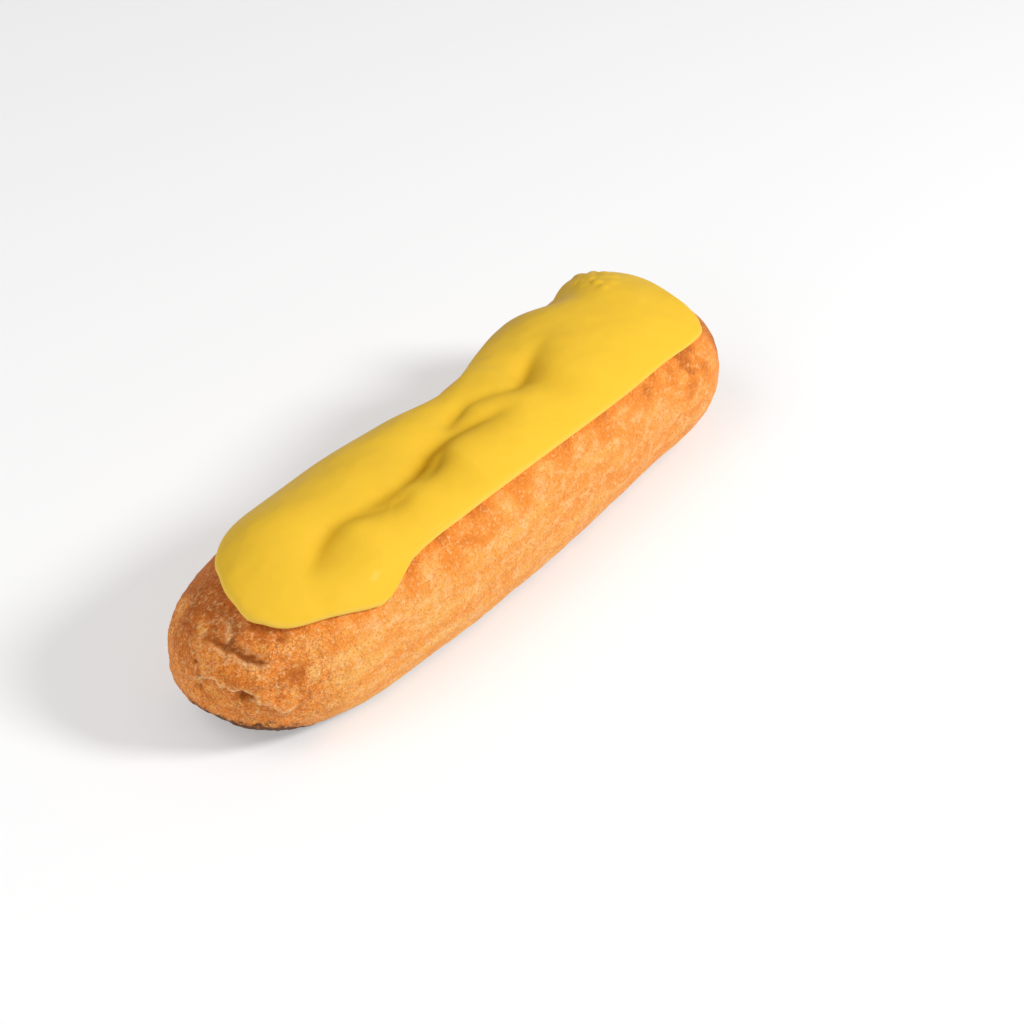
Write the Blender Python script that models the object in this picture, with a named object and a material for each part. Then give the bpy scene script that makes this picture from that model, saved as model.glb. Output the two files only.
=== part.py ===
"""An eclair: a baked choux pastry finger with a skin of yellow icing along its top.

Metres, +Z up. The finger lies along X and rests on z = 0, with the origin under its middle.
Every point of the crust is named by x and by a turn, the angle about the long axis: 0 is the
top, positive turns go down the +Y side and negative ones down the -Y side, to 180 underneath.
"""

from collections import namedtuple
import math

import bmesh
import bpy
import numpy as np

MM = 0.001

# Driving dimensions of the finger.
LENGTH = 140 * MM
NEAR_CAP = 27.6 * MM  # how far the rounding of the -X end reaches along X
FAR_CAP = 22.2 * MM  # and that of the +X end
CAP_POWER = 0.8  # 1 is an elliptic end, and less is blunter
SHOULDER = 14.5 * MM  # height of the widest line
BASE_DROP = 16.5 * MM  # depth below it, which the floor cuts flat
TOP_SQUARENESS = 2.15  # 2 is an ellipse, and more is boxier
BASE_SQUARENESS = 2.6

# The finger is piped by hand, so its sizes drift. These hold at equal steps from -X to +X.
HALF_WIDTHS = [18.7, 18.4, 18.9, 18.8, 18.4, 18.5, 19.4, 21.8]
CROWN_HEIGHTS = [32.4, 32.7, 33.2, 33.2, 32.9, 32.5, 31.5, 30.0]
SIDE_SHIFTS = [2.3, 0.5, -0.6, -1.5, -1.5, -0.5, 1.1, -0.8]

# Broad swellings and dents of the crust: x and its reach, turn and its reach, height.
Lump = namedtuple("Lump", "x reach turn spread height")
LUMPS = [
    Lump(4, 8, 38, 18, -1.2),
    Lump(30, 9, 44, 20, 0.4),
    Lump(45, 6, 42, 20, -2.2),
    Lump(56, 7, 15, 25, 0.3),
    Lump(-47, 10, 5, 22, 0.9),
    Lump(-42, 6, -42, 14, 0.7),
    Lump(-22, 12, 15, 18, 0.5),
    Lump(-60, 8, 30, 30, -0.7),
]

# Creases that the icing has sunk into: rows of x, turn, depth, and how far the walls towards -Y
# and +Y reach, on the way to +X.
CREASES = [
    [
        (-54, -27, 0.0, 2.2, 3.2), (-51, -24, 0.2, 2.2, 3.2), (-47, -18, 1.3, 2.0, 3.2),
        (-41, -10, 2.2, 1.7, 3.2), (-36, -10, 1.6, 1.3, 3.0), (-31.7, -11, 1.9, 2.0, 3.0),
        (-27.2, -11, 2.5, 2.3, 3.2), (-22.7, -11.3, 2.0, 1.6, 3.0), (-18.5, -9, 3.2, 2.2, 3.2),
        (-14.3, -5, 4.0, 2.8, 3.2), (-10.8, -2.2, 3.1, 2.2, 3.0), (-6, -3.5, 2.1, 1.7, 2.6),
        (-3, -5.2, 1.9, 1.7, 2.6), (0.2, -7.3, 1.8, 1.8, 2.6), (4.2, -10.2, 1.4, 1.8, 2.6),
        (8.5, -14.5, 0.3, 1.8, 2.6), (12, -18, 0.0, 1.8, 2.6),
    ],
    [
        (-9, -0.8, 0.0, 1.4, 2.2), (-6, 0.6, 0.3, 1.4, 2.2), (-2.8, 3.4, 1.6, 1.5, 2.2),
        (0, 4.8, 1.9, 1.5, 2.0), (2.8, 5.2, 1.4, 1.3, 2.0), (5.4, 3.4, 1.1, 1.3, 2.0),
        (7.6, 0.8, 1.0, 1.3, 2.0), (10.2, -2.2, 1.1, 1.4, 2.2), (12.8, -4.4, 0.8, 1.4, 2.2),
        (15, -5.8, 0.2, 1.4, 2.2), (17, -7, 0.0, 1.4, 2.2),
    ],
    [
        (9.5, -8, 0.0, 2.0, 2.4), (11.8, -6.5, 0.4, 2.0, 2.4), (14, -4.7, 1.6, 2.2, 2.6),
        (16.6, -2.9, 2.8, 2.6, 3.0), (19.4, -0.6, 2.6, 2.6, 3.0), (22.8, 2.0, 1.6, 2.3, 3.0),
        (26.9, 4.2, 0.7, 2.2, 3.0), (31, 5.5, 0.2, 2.2, 3.0), (35, 6, 0.0, 2.2, 3.0),
    ],
    [
        (-39, -9.5, 0.0, 0.9, 1.0), (-36.5, -11.5, 0.2, 0.9, 1.0), (-33.6, -14.2, 0.5, 0.9, 1.0),
        (-30.2, -17.4, 0.7, 0.9, 1.0), (-27.2, -19.2, 0.8, 0.9, 1.0), (-24, -19, 0.5, 0.9, 1.0),
        (-20.5, -18.2, 0.1, 0.8, 0.9), (-18, -18, 0.0, 0.7, 0.9),
    ],
    [
        (-21, -17, 0.0, 0.7, 0.9), (-18.5, -16.6, 0.3, 0.7, 0.9), (-16, -15.5, 0.7, 0.7, 0.9),
        (-13.9, -13.7, 0.9, 0.7, 0.9), (-11.6, -10.6, 0.8, 0.7, 0.9), (-9.4, -6.8, 0.3, 0.7, 0.9),
        (-7.8, -4, 0.0, 0.7, 0.9),
    ],
]
# Soft valleys: rows as for the creases.
SWALES = [
    [
        (-39, -9, 0.0, 3.0, 3.5), (-43, -15.5, 1.1, 3.5, 4.0), (-47, -21, 1.4, 4.0, 4.5),
        (-51, -27, 1.1, 4.5, 5.0), (-56, -33, 0.0, 5.0, 5.0),
    ],
    [
        (-1, 7, 0.0, 1.8, 1.8), (-6, 3, 0.6, 1.8, 1.8), (-10.5, -1.5, 0.7, 1.8, 1.8),
        (-13, -4, 0.0, 1.8, 1.8),
    ],
    [
        (51, 76, 0.0, 3.0, 3.0), (49.2, 62, 0.5, 3.0, 3.0), (48, 48, 0.9, 2.6, 2.6),
        (47, 34, 0.9, 2.4, 2.6), (45.6, 18, 0.5, 2.4, 2.8), (45, 4, 0.0, 2.4, 2.8),
    ],
]
CREASE_ROUNDING = 0.75  # radius at the bottom of the icing's creases
HIDDEN_WALL = 4.5  # least reach of the walls in the crust, below the icing
HIDDEN_ROUNDING = 3.0
PATH_STEPS = 6  # straight steps between two rows of a path

# Splits in the crust of the -X end, on the way to -Y: rows of y, z, depth, and how far the walls
# above and below reach.
SPLITS = [
    [
        (4, 23.9, 0.0, 0.6, 0.6), (1.5, 23.6, 0.5, 0.6, 0.6), (-1, 23.4, 0.9, 0.6, 0.6),
        (-2.6, 23.2, 1.0, 0.6, 0.7), (-4.2, 22.9, 1.0, 0.6, 0.7), (-5.2, 22.3, 1.1, 0.5, 0.7),
        (-6.5, 22.0, 1.1, 0.4, 0.5), (-8.5, 21.4, 0.7, 0.3, 0.4), (-9.5, 21.3, 0.0, 0.3, 0.4),
    ],
    [
        (0.6, 27.2, 0.0, 0.3, 0.3), (-1, 26.6, 0.5, 0.3, 0.3), (-2.1, 25.9, 0.6, 0.3, 0.3),
        (-2.2, 25, 0.6, 0.3, 0.3), (-2.1, 24.1, 0.5, 0.3, 0.3), (-1.9, 23.4, 0.3, 0.3, 0.3),
    ],
]
SPLIT_ROUNDING = 0.2
# Edges of flakes there: rows of y, z and how proud the skin stands above the edge.
FLAKES = [
    [
        (5, 15.8, 0.0), (3, 16.0, 0.4), (1.7, 16.5, 0.6), (-0.5, 17.8, 0.7), (-2.3, 17.5, 0.8),
        (-3, 17.0, 0.8), (-4.4, 17.1, 0.9), (-5.1, 16.6, 1.0), (-6.3, 17.0, 0.9),
        (-7.2, 16.4, 0.8), (-8.0, 15.3, 0.7), (-8.8, 14.0, 0.7), (-9.7, 13.0, 0.7),
        (-10.7, 12.4, 0.8), (-11.1, 11.5, 0.8), (-11.8, 11.3, 0.7), (-13, 11.8, 0.5),
        (-14, 12.2, 0.0),
    ],
    [
        (-3, 24.3, 0.0), (-4.2, 24.2, 0.2), (-5.4, 23.7, 0.3), (-6.7, 22.9, 0.3),
        (-7.6, 22.2, 0.2), (-9, 21.8, 0.0),
    ],
    [
        (-1.5, 23.4, 0.0), (-1.7, 24.1, 0.2), (-1.8, 25, 0.2), (-1.7, 25.9, 0.2),
        (-0.7, 26.8, 0.2), (0.6, 27.4, 0.0),
    ],
]
FLAKE_REACH = 2.8  # how far above its edge a flake stands proud
FLAKE_EDGE = 0.2  # half width of the step at its edge
# Pits there: y, z, radius, depth.
PITS = [
    (-6.7, 15.2, 0.9, 1.1), (2.7, 19.5, 0.6, 0.5), (1.5, 17.2, 0.6, 0.4), (1.7, 14.7, 0.6, 0.4),
    (-9.5, 24.5, 0.6, 0.3),
]
CRAG_FRONT = -62 * MM  # all of these are whole in front of this x
CRAG_BACK = -52 * MM  # and have faded out by this one

# Slow unevenness of the whole crust: waves along x, waves round the turn, phase.
UNEVEN_HEIGHT = 0.22 * MM
UNEVEN_WAVES = [(2.3, 3, 0.4), (3.7, -2, 1.9), (5.1, 5, 3.1), (6.6, -4, 4.4)]
FLOOR_FADE = math.radians(30)  # they fade out over this turn before the floor

# The icing.
ICING_THICKNESS = 1.6 * MM
ICING_GAP = 0.3 * MM  # between the icing and the crust
ICING_LIP = 1.6 * MM  # width of its rounded edge
LIP_BLUNTNESS = 0.25  # height of the very edge, as a share of the thickness
LIP_RINGS = [0.0, 0.12, 0.45, 1.0]  # rings of points across the lip, as shares of its width
# Its edge, as (x, turn), from the middle of the +X end down the -Y side and round.
ICING_EDGE = [
    (61.4, -18), (61.1, -32), (60.1, -43), (58.4, -49.3), (54.8, -51.6), (44, -52.3),
    (30, -51.5), (12, -49), (-8, -48.5), (-23, -48.6), (-30, -47.8), (-34, -50.6),
    (-37, -53.9), (-39.5, -57.2), (-41.8, -59.3), (-44.5, -58.9), (-48, -55.3), (-52.3, -50.2),
    (-57, -45), (-61.5, -28), (-61.5, -5), (-59, 14), (-54.5, 32), (-47, 43), (-36, 48),
    (-22, 48), (-11, 42), (-2, 32), (6, 28), (13, 31), (20, 39), (28, 46), (37, 50), (48, 46),
    (57, 38), (61.5, 18),
]
ICING_HALF_LENGTH = 60 * MM
ICING_HALF_TURN = math.radians(50)
SPINE_HALF_LENGTH = 42 * MM  # of the line that the icing's rings of points close in on

# Fineness of the two meshes.
CRUST_RINGS = 76
CRUST_COLUMNS = 52
NEAR_CAP_RINGS = 0.42  # share of the rings that shape each end
FAR_CAP_RINGS = 0.22
SIDE_COLUMNS = 11 / 13  # share of the columns above the floor
TOP_CROWDING = 0.3  # how much closer together the columns are along the top
MOST_CONTACT_TURN = math.radians(170)
ICING_GRID = (60, 24)

FLOOR_SNAP = 0.03 * MM  # points below this height lie on the floor
CORE_NEAR = -46 * MM  # outward points away from a line along X between these ends
CORE_FAR = 54 * MM
CROWN_RADIUS = 20 * MM  # turns a turn into a distance on the crust

CRUST_COLOUR = (0.78, 0.36, 0.11)
CRUST_ROUGHNESS = 0.65
ICING_COLOUR = (0.96, 0.62, 0.06)
ICING_ROUGHNESS = 0.3


def smooth_through(stations, values, where):
    """A smooth curve through values at increasing stations, read at where."""
    stations = np.asarray(stations, float)
    values = np.asarray(values, float)
    slopes = np.gradient(values, stations)
    where = np.clip(where, stations[0], stations[-1])
    left = np.searchsorted(stations, where, side="right") - 1
    left = np.clip(left, 0, len(stations) - 2)
    step = stations[left + 1] - stations[left]
    t = (where - stations[left]) / step
    from_left = (1 + 2 * t) * (1 - t) ** 2 * values[left] + t * (1 - t) ** 2 * step * slopes[left]
    from_right = t * t * (3 - 2 * t) * values[left + 1]
    return from_left + from_right + t * t * (t - 1) * step * slopes[left + 1]


def drifting(values, x):
    """A size in metres at x, from its list in millimetres."""
    stations = np.linspace(-LENGTH / 2, LENGTH / 2, len(values))
    return smooth_through(stations, values, x) * MM


def end_scale(x):
    """How much of its full section the finger has at x: 1 along the middle, 0 at the tips."""
    near = np.clip((x + LENGTH / 2) / NEAR_CAP, 0, 1)
    far = np.clip((LENGTH / 2 - x) / FAR_CAP, 0, 1)
    return ((1 - (1 - near) ** 2) * (1 - (1 - far) ** 2)) ** (CAP_POWER / 2)


def contact_turn(x):
    """The turn at which the side meets the floor."""
    drop = np.maximum(BASE_DROP * end_scale(x), MM)
    reach = np.minimum((SHOULDER / drop) ** (BASE_SQUARENESS / 2), 1)
    return np.minimum(math.pi - np.arccos(reach), MOST_CONTACT_TURN)


def beside_path(rows, u, v):
    """How far (u, v) lies to the left of a smooth path, negative to its right, and the row beside it.

    The path's rows start with their own (u, v), and the rest of each row comes back as smooth columns.
    """
    columns = np.transpose(rows)
    run = np.concatenate([[0], np.cumsum(np.hypot(*np.diff(columns[:2])))])
    where = np.linspace(0, run[-1], PATH_STEPS * (len(rows) - 1) + 1)
    line_u, line_v = [smooth_through(run, column, where) for column in columns[:2]]
    beside = np.full_like(u, np.inf)
    along = np.zeros_like(u)
    for start in range(len(where) - 1):
        run_u = line_u[start + 1] - line_u[start]
        run_v = line_v[start + 1] - line_v[start]
        t = ((u - line_u[start]) * run_u + (v - line_v[start]) * run_v) / (run_u**2 + run_v**2)
        t = np.clip(t, 0, 1)
        off_u = u - line_u[start] - t * run_u
        off_v = v - line_v[start] - t * run_v
        gap = np.hypot(off_u, off_v)
        closer = gap < np.abs(beside)
        beside = np.where(closer, np.copysign(gap, run_u * off_v - run_v * off_u), beside)
        along = np.where(closer, where[start] + t * (where[start + 1] - where[start]), along)
    return [beside] + [smooth_through(run, column, along) for column in columns[2:]]


def groove(beside, depth, right, left, rounding):
    """A groove's height beside its path, with unlike walls to its right and left."""
    away = np.hypot(beside, rounding) - rounding
    return -depth * np.exp(-away / np.where(beside < 0, right, left))


def beside_crease(rows, x, turn):
    """beside_path along rows of x in mm and turn in degrees, measured on the crown."""
    path = [(at, math.radians(around) * CROWN_RADIUS / MM, *rest) for at, around, *rest in rows]
    return beside_path(path, x / MM, turn * CROWN_RADIUS / MM)


def crease_relief(x, turn, sharp):
    """Height of the creases: sharp in the icing's surface, and softer in the crust below it."""
    least_reach = 0 if sharp else HIDDEN_WALL
    rounding = CREASE_ROUNDING if sharp else HIDDEN_ROUNDING
    height = np.zeros_like(x)
    for rows in CREASES:
        beside, depth, front, back = beside_crease(rows, x, turn)
        front = np.maximum(front, least_reach)
        back = np.maximum(back, least_reach)
        height += groove(beside, depth, front, back, rounding)
    for rows in SWALES:
        beside, depth, front, back = beside_crease(rows, x, turn)
        height += groove(beside, depth, front, back, HIDDEN_ROUNDING)
    return height * MM


def crown_relief(x, turn):
    """Height of the lumps and slow waves above the plain form."""
    height = np.zeros_like(x)
    for lump in LUMPS:
        along = (x / MM - lump.x) / lump.reach
        around = (np.degrees(turn) - lump.turn) / lump.spread
        height += lump.height * MM * np.exp(-(along**2) - around**2)
    above_floor = np.clip((contact_turn(x) - np.abs(turn)) / FLOOR_FADE, 0, 1)
    for along, around, phase in UNEVEN_WAVES:
        wave = np.sin(along * math.tau * x / LENGTH + around * turn + phase)
        height += UNEVEN_HEIGHT / len(UNEVEN_WAVES) * wave * above_floor
    return height


def crag_relief(point):
    """Height of the splits, flakes and pits of the -X end, at points on the plain form."""
    x, y, z = np.moveaxis(point / MM, -1, 0)
    height = np.zeros_like(x)
    for rows in SPLITS:
        beside, depth, below, above = beside_path(rows, y, z)
        height += groove(beside, depth, above, below, SPLIT_ROUNDING)
    for rows in FLAKES:
        beside, proud = beside_path(rows, y, z)
        above = np.maximum(-beside, 0) / FLAKE_REACH
        height += proud * np.exp(-(above**2)) * (1 - np.tanh(beside / FLAKE_EDGE)) / 2
    for pit_y, pit_z, radius, depth in PITS:
        height -= depth * np.exp(-((np.hypot(y - pit_y, z - pit_z) / radius) ** 4))
    share = np.clip((CRAG_BACK / MM - x) / (CRAG_BACK - CRAG_FRONT) * MM, 0, 1)
    return height * share * MM


def plain_crust(x, turn):
    """Points of the finger without its relief."""
    scale = end_scale(x)
    rise = np.where(np.cos(turn) > 0, drifting(CROWN_HEIGHTS, x) - SHOULDER, BASE_DROP)
    power = np.where(np.cos(turn) > 0, 2 / TOP_SQUARENESS, 2 / BASE_SQUARENESS)
    across = np.sign(np.sin(turn)) * np.abs(np.sin(turn)) ** power
    up = np.sign(np.cos(turn)) * np.abs(np.cos(turn)) ** power
    y = drifting(SIDE_SHIFTS, x) + drifting(HALF_WIDTHS, x) * scale * across
    return np.stack([x, y, SHOULDER + rise * scale * up], axis=-1)


def outward(point):
    """Unit vectors away from the finger's core."""
    x, y, z = np.moveaxis(point, -1, 0)
    away_x = x - np.clip(x, CORE_NEAR, CORE_FAR)
    away = np.stack([away_x, y - drifting(SIDE_SHIFTS, x), z - SHOULDER], axis=-1)
    return away / np.linalg.norm(away, axis=-1, keepdims=True)


def crust_point(x, turn, raised=0.0, sharp=False):
    """Points of the finished crust, or of a surface raised above it, perhaps with sharp creases."""
    plain = plain_crust(x, turn)
    height = crown_relief(x, turn) + crease_relief(x, turn, sharp) + crag_relief(plain) + raised
    point = plain + outward(plain) * height[..., None]
    point[..., 2] = np.where(point[..., 2] < FLOOR_SNAP, 0, point[..., 2])
    return point


def icing_edge(angle):
    """(x, turn) of the icing's edge, by its direction from the middle of the icing."""
    x, turn = np.transpose(ICING_EDGE)
    x = x[::-1] * MM
    turn = np.radians(turn[::-1])
    direction = np.unwrap(np.arctan2(turn / ICING_HALF_TURN, x / ICING_HALF_LENGTH))
    direction = np.concatenate([direction - math.tau, direction, direction + math.tau])
    return [smooth_through(direction, np.tile(values, 3), angle) for values in (x, turn)]


def set_points(bm, points):
    for vert, point in zip(bm.verts, points):
        vert.co = point


def points_of(bm):
    return np.array([vert.co[:] for vert in bm.verts])


def x_of_ring(share):
    """x of the crust's rings, from share 0 at the -X tip to 1 at the +X tip."""
    near = np.clip(share / NEAR_CAP_RINGS, 0, 1) * math.pi / 2
    far = np.clip((1 - share) / FAR_CAP_RINGS, 0, 1) * math.pi / 2
    middle = np.clip((share - NEAR_CAP_RINGS) / (1 - NEAR_CAP_RINGS - FAR_CAP_RINGS), 0, 1)
    straight = LENGTH - NEAR_CAP - FAR_CAP
    return -LENGTH / 2 + NEAR_CAP * (1 - np.cos(near)) + straight * middle + FAR_CAP * np.cos(far)


def make_crust():
    """A sphere with its poles along X, drawn onto the crust."""
    bm = bmesh.new()
    bmesh.ops.create_uvsphere(bm, u_segments=CRUST_COLUMNS, v_segments=CRUST_RINGS, radius=1)
    ball = points_of(bm)
    x = x_of_ring(np.arccos(np.clip(-ball[:, 2], -1, 1)) / math.pi)
    column = np.arctan2(ball[:, 1], ball[:, 0]) / math.pi
    contact = contact_turn(x)
    side = np.minimum(np.abs(column) / SIDE_COLUMNS, 1)
    side = side * (1 - TOP_CROWDING * (1 - side**2)) * contact
    under = np.maximum(np.abs(column) - SIDE_COLUMNS, 0) / (1 - SIDE_COLUMNS) * (math.pi - contact)
    set_points(bm, crust_point(x, np.sign(column) * (side + under)))
    return bm


def icing_layout(flat):
    """(x, turn, rounding) of the grid's points: rings that close in from the edge on a spine."""
    grid = np.array(ICING_GRID)
    rings = grid.min() / 2
    lip_rings = len(LIP_RINGS) - 1
    ring = np.rint(((1 - np.abs(flat)) * grid / 2).min(axis=1))
    half = 1 - 2 * ring[:, None] / grid
    square = np.divide(flat, half, out=np.zeros_like(flat), where=half > 0)
    edge_x, edge_turn = icing_edge(np.arctan2(square[:, 1], square[:, 0]))
    spine_x = square[:, 0] * SPINE_HALF_LENGTH
    reach = np.hypot(edge_x - spine_x, edge_turn * CROWN_RADIUS)
    inset = np.interp(ring, range(len(LIP_RINGS)), LIP_RINGS)
    lip = inset * ICING_LIP / reach
    inward = lip + (1 - lip) * np.clip((ring - lip_rings) / (rings - lip_rings), 0, 1)
    rounding = LIP_BLUNTNESS + (1 - LIP_BLUNTNESS) * np.sqrt(1 - (1 - inset) ** 2)
    return edge_x + (spine_x - edge_x) * inward, edge_turn * (1 - inward), rounding


def make_icing():
    """A grid drawn onto the icing's outline, then thickened."""
    bm = bmesh.new()
    bmesh.ops.create_grid(bm, x_segments=ICING_GRID[0], y_segments=ICING_GRID[1], size=1)
    x, turn, rounding = icing_layout(points_of(bm)[:, :2])
    over = crust_point(x, turn, ICING_GAP + ICING_THICKNESS * rounding, sharp=True)
    set_points(bm, crust_point(x, turn, ICING_GAP))
    place = bm.verts.layers.int.new("place")
    for index, vert in enumerate(bm.verts):
        vert[place] = index
    thickened = bmesh.ops.extrude_face_region(bm, geom=bm.faces[:])
    for item in thickened["geom"]:
        if isinstance(item, bmesh.types.BMVert):
            item.co = over[item[place]]
    bm.verts.layers.int.remove(place)
    return bm


def food_material(name, colour, roughness):
    material = bpy.data.materials.new(name)
    material.use_nodes = True
    shader = material.node_tree.nodes["Principled BSDF"]
    shader.inputs["Base Color"].default_value = (*colour, 1)
    shader.inputs["Roughness"].default_value = roughness
    shader.inputs["Metallic"].default_value = 0
    material.diffuse_color = (*colour, 1)
    return material


def add_piece(collection, name, bm, material):
    bmesh.ops.recalc_face_normals(bm, faces=bm.faces)
    mesh = bpy.data.meshes.new(name)
    bm.to_mesh(mesh)
    bm.free()
    mesh.shade_smooth()
    mesh.materials.append(material)
    collection.objects.link(bpy.data.objects.new(name, mesh))


def main():
    for existing in list(bpy.data.objects):
        bpy.data.objects.remove(existing, do_unlink=True)
    collection = bpy.data.collections.new("eclair")
    bpy.context.scene.collection.children.link(collection)
    crust_material = food_material("baked_crust", CRUST_COLOUR, CRUST_ROUGHNESS)
    icing_material = food_material("yellow_icing", ICING_COLOUR, ICING_ROUGHNESS)
    add_piece(collection, "choux_pastry", make_crust(), crust_material)
    add_piece(collection, "icing", make_icing(), icing_material)


main()
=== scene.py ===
"""The looks of the eclair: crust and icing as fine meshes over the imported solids, floor, lights and camera.

Points on the crust are named by x and by a turn about the long axis, as in the solids: 0 is the
top, positive turns go down the +Y side, negative ones down the -Y side, and 180 is underneath.
"""

from collections import namedtuple
import math

import bmesh
import bpy
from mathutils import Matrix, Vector, kdtree, noise
import numpy as np


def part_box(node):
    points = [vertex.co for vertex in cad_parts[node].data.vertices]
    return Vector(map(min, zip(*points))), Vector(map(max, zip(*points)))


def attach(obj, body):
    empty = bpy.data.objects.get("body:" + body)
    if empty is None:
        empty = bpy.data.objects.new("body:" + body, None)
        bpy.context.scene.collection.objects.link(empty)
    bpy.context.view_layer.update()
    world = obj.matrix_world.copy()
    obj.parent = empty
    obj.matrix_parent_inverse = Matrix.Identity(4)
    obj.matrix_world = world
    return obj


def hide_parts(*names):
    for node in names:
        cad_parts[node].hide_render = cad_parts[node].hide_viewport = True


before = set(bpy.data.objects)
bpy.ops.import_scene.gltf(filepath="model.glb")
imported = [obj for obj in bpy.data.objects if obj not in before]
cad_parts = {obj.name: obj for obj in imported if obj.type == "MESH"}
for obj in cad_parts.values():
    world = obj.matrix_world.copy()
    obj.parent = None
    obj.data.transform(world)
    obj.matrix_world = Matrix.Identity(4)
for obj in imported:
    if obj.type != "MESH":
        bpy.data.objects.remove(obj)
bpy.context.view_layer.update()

MM = 0.001
_, crust_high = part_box("choux_pastry")

# The finger's form, as in the solids. The lists are in mm, and hold at equal steps from -X to +X.
LENGTH = 2 * crust_high.x
NEAR_CAP = 27.6 * MM  # how far the rounding of the -X end reaches along X
FAR_CAP = 22.2 * MM  # and that of the +X end
CAP_POWER = 0.8  # 1 is an elliptic end, and less is blunter
SHOULDER = 14.5 * MM  # height of the widest line
BASE_DROP = 16.5 * MM  # depth below it, which the floor cuts flat
TOP_SQUARENESS = 2.15  # 2 is an ellipse, and more is boxier
BASE_SQUARENESS = 2.6
HALF_WIDTHS = [18.7, 18.4, 18.9, 18.8, 18.4, 18.5, 19.4, 21.8]
CROWN_HEIGHTS = [32.4, 32.7, 33.2, 33.2, 32.9, 32.5, 31.5, 30.0]
SIDE_SHIFTS = [2.3, 0.5, -0.6, -1.5, -1.5, -0.5, 1.1, -0.8]
CORE_NEAR = -46 * MM
CORE_FAR = 54 * MM
CROWN_RADIUS = 20 * MM

# Broad swellings and dents of the crust: x and its reach, turn and its reach, height.
Lump = namedtuple("Lump", "x reach turn spread height")
LUMPS = [
    Lump(4, 8, 38, 18, -1.2),
    Lump(30, 9, 44, 20, 0.4),
    Lump(45, 6, 42, 20, -2.2),
    Lump(56, 7, 15, 25, 0.3),
    Lump(-47, 10, 5, 22, 0.9),
    Lump(-42, 6, -42, 14, 0.7),
    Lump(-22, 12, 15, 18, 0.5),
    Lump(-60, 8, 30, 30, -0.7),
]
# Creases that the icing has sunk into: rows of x, turn, depth, and how far the walls towards -Y
# and +Y reach, on the way to +X.
CREASES = [
    [
        (-54, -27, 0.0, 2.2, 3.2), (-51, -24, 0.2, 2.2, 3.2), (-47, -18, 1.3, 2.0, 3.2),
        (-41, -10, 2.2, 1.7, 3.2), (-36, -10, 1.6, 1.3, 3.0), (-31.7, -11, 1.9, 2.0, 3.0),
        (-27.2, -11, 2.5, 2.3, 3.2), (-22.7, -11.3, 2.0, 1.6, 3.0), (-18.5, -9, 3.2, 2.2, 3.2),
        (-14.3, -5, 4.0, 2.8, 3.2), (-10.8, -2.2, 3.1, 2.2, 3.0), (-6, -3.5, 2.1, 1.7, 2.6),
        (-3, -5.2, 1.9, 1.7, 2.6), (0.2, -7.3, 1.8, 1.8, 2.6), (4.2, -10.2, 1.4, 1.8, 2.6),
        (8.5, -14.5, 0.3, 1.8, 2.6), (12, -18, 0.0, 1.8, 2.6),
    ],
    [
        (-9, -0.8, 0.0, 1.4, 2.2), (-6, 0.6, 0.3, 1.4, 2.2), (-2.8, 3.4, 1.6, 1.5, 2.2),
        (0, 4.8, 1.9, 1.5, 2.0), (2.8, 5.2, 1.4, 1.3, 2.0), (5.4, 3.4, 1.1, 1.3, 2.0),
        (7.6, 0.8, 1.0, 1.3, 2.0), (10.2, -2.2, 1.1, 1.4, 2.2), (12.8, -4.4, 0.8, 1.4, 2.2),
        (15, -5.8, 0.2, 1.4, 2.2), (17, -7, 0.0, 1.4, 2.2),
    ],
    [
        (9.5, -8, 0.0, 2.0, 2.4), (11.8, -6.5, 0.4, 2.0, 2.4), (14, -4.7, 1.6, 2.2, 2.6),
        (16.6, -2.9, 2.8, 2.6, 3.0), (19.4, -0.6, 2.6, 2.6, 3.0), (22.8, 2.0, 1.6, 2.3, 3.0),
        (26.9, 4.2, 0.7, 2.2, 3.0), (31, 5.5, 0.2, 2.2, 3.0), (35, 6, 0.0, 2.2, 3.0),
    ],
    [
        (-39, -9.5, 0.0, 0.9, 1.0), (-36.5, -11.5, 0.2, 0.9, 1.0), (-33.6, -14.2, 0.5, 0.9, 1.0),
        (-30.2, -17.4, 0.7, 0.9, 1.0), (-27.2, -19.2, 0.8, 0.9, 1.0), (-24, -19, 0.5, 0.9, 1.0),
        (-20.5, -18.2, 0.1, 0.8, 0.9), (-18, -18, 0.0, 0.7, 0.9),
    ],
    [
        (-21, -17, 0.0, 0.7, 0.9), (-18.5, -16.6, 0.3, 0.7, 0.9), (-16, -15.5, 0.7, 0.7, 0.9),
        (-13.9, -13.7, 0.9, 0.7, 0.9), (-11.6, -10.6, 0.8, 0.7, 0.9), (-9.4, -6.8, 0.3, 0.7, 0.9),
        (-7.8, -4, 0.0, 0.7, 0.9),
    ],
]
# Soft valleys: rows as for the creases.
SWALES = [
    [
        (-39, -9, 0.0, 3.0, 3.5), (-43, -15.5, 1.1, 3.5, 4.0), (-47, -21, 1.4, 4.0, 4.5),
        (-51, -27, 1.1, 4.5, 5.0), (-56, -33, 0.0, 5.0, 5.0),
    ],
    [
        (-1, 7, 0.0, 1.8, 1.8), (-6, 3, 0.6, 1.8, 1.8), (-10.5, -1.5, 0.7, 1.8, 1.8),
        (-13, -4, 0.0, 1.8, 1.8),
    ],
    [
        (51, 76, 0.0, 3.0, 3.0), (49.2, 62, 0.5, 3.0, 3.0), (48, 48, 0.9, 2.6, 2.6),
        (47, 34, 0.9, 2.4, 2.6), (45.6, 18, 0.5, 2.4, 2.8), (45, 4, 0.0, 2.4, 2.8),
    ],
]
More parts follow.
